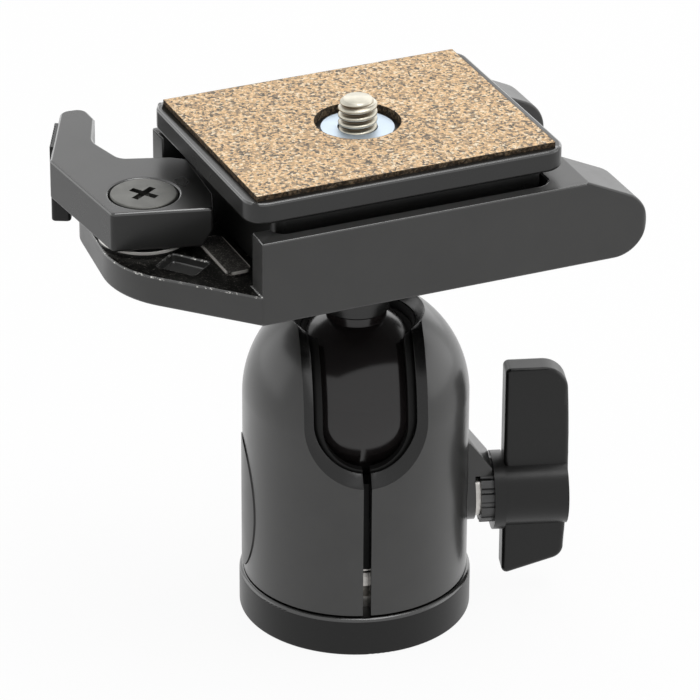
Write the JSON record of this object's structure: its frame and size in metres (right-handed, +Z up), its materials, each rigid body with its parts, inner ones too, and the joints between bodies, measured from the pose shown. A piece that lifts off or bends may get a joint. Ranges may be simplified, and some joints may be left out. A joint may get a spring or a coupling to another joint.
{
  "type": "tripod ball head with quick-release platform",
  "caption": "Tripod ball head: slotted barrel on a panning base, side clamp knob, ball and neck, and a lever-locked platform with a corked quick-release plate.",
  "frame": {"origin": "centre of the tripod socket at the underside of the base ring", "axes": "+Z up out of the base along the pan axis, +X along the clamp knob's axis, the drop notch opens towards -Y"},
  "size_m": [0.095, 0.0645, 0.0925],
  "materials": {
    "anodised_black": "black anodised, semi-gloss",
    "cast_black": "satin black powder coat on a casting",
    "steel": "bright steel",
    "black_steel": "blackened steel",
    "plastic_black": "black plastic, fine grain",
    "gloss_black": "polished black anodised ball",
    "brass": "turned brass",
    "cork": "rubberised cork",
    "rubber": "matt rubber",
    "zinc": "blue passivated zinc"
  },
  "bodies": {
    "base": {"base_disc": "anodised_black", "grip_ring": "rubber", "thread_bush": "steel", "base_screws": "black_steel", "pan_bearing": "steel", "pan_spindle": "black_steel"},
    "barrel": {"barrel": "anodised_black", "ball_liner": "plastic_black", "ball_seat": "plastic_black", "seat_spring": "steel", "badge_plate": "black_steel", "clamp_nut": "brass", "pan_pins": "steel"},
    "thrust_washer": {"thrust_washer": "steel"},
    "knob": {"clamp_stud": "steel", "knob_collar": "black_steel", "knob_wing": "plastic_black", "knob_insert": "brass"},
    "ball": {"ball": "gloss_black"},
    "neck": {"neck": "black_steel", "neck_collar": "anodised_black", "platform_screw": "black_steel", "lock_washer": "steel"},
    "platform": {"platform": "cast_black", "pawl_plate": "black_steel", "pivot_washer": "steel", "pivot_bush": "brass", "pivot_screw": "black_steel", "torsion_spring": "steel", "trip_spring": "steel"},
    "lever": {"lever": "cast_black", "thumb_pad": "plastic_black"},
    "plate": {"qr_plate": "cast_black", "plate_foot": "cast_black", "cork_pad": "cork", "screw_washer": "zinc"},
    "camera_screw": {"camera_screw": "steel"},
    "trip_pin": {"trip_pin": "steel"}
  },
  "joints": [
    {"name": "pan", "type": "hinge", "parent": "base", "child": "barrel", "pos_m": [0, 0, 0.0072], "axis": [0, 0, 1], "continuous": true},
    {"name": "lean", "type": "hinge", "parent": "barrel", "child": "ball", "pos_m": [0, 0, 0.0394], "axis": [0, 1, 0], "range_deg": [-12, 12]},
    {"name": "drop", "type": "hinge", "parent": "ball", "child": "neck", "pos_m": [0, 0, 0.0394], "axis": [1, 0, 0], "range_deg": [-12, 90]},
    {"name": "spin", "type": "hinge", "parent": "neck", "child": "platform", "pos_m": [0, 0, 0.0676], "axis": [0, 0, 1], "continuous": true},
    {"name": "lever_open", "type": "hinge", "parent": "platform", "child": "lever", "pos_m": [-0.03499, -0.00676, 0.076], "axis": [0, 0, 1], "range_deg": [0, 45], "stiffness_Nm_per_rad": 0.03, "springref_deg": -34.38, "deforming": ["torsion_spring"]},
    {"name": "plate_lift", "type": "slide", "parent": "platform", "child": "plate", "axis": [0, 0, 1], "range_m": [0, 0.014]},
    {"name": "camera_screw_turn", "type": "hinge", "parent": "plate", "child": "camera_screw", "pos_m": [0, 0, 0.088], "axis": [0, 0, 1], "continuous": true},
    {"name": "trip_pin_travel", "type": "slide", "parent": "platform", "child": "trip_pin", "axis": [0, 0, 1], "range_m": [-0.0015, 0], "stiffness_N_per_m": 250, "springref_m": 0.002, "deforming": ["trip_spring"]},
    {"name": "knob_advance", "type": "slide", "parent": "barrel", "child": "thrust_washer", "axis": [1, 0, 0], "range_m": [0, 0.00035]},
    {"name": "knob_turn", "type": "hinge", "parent": "thrust_washer", "child": "knob", "pos_m": [0.0236, 0, 0.0194], "axis": [1, 0, 0], "range_deg": [0, 120]}
  ],
  "couplings": [
    {"joint": "knob_advance", "follows": "knob_turn", "m_per_rad": 0.00015915}
  ]
}
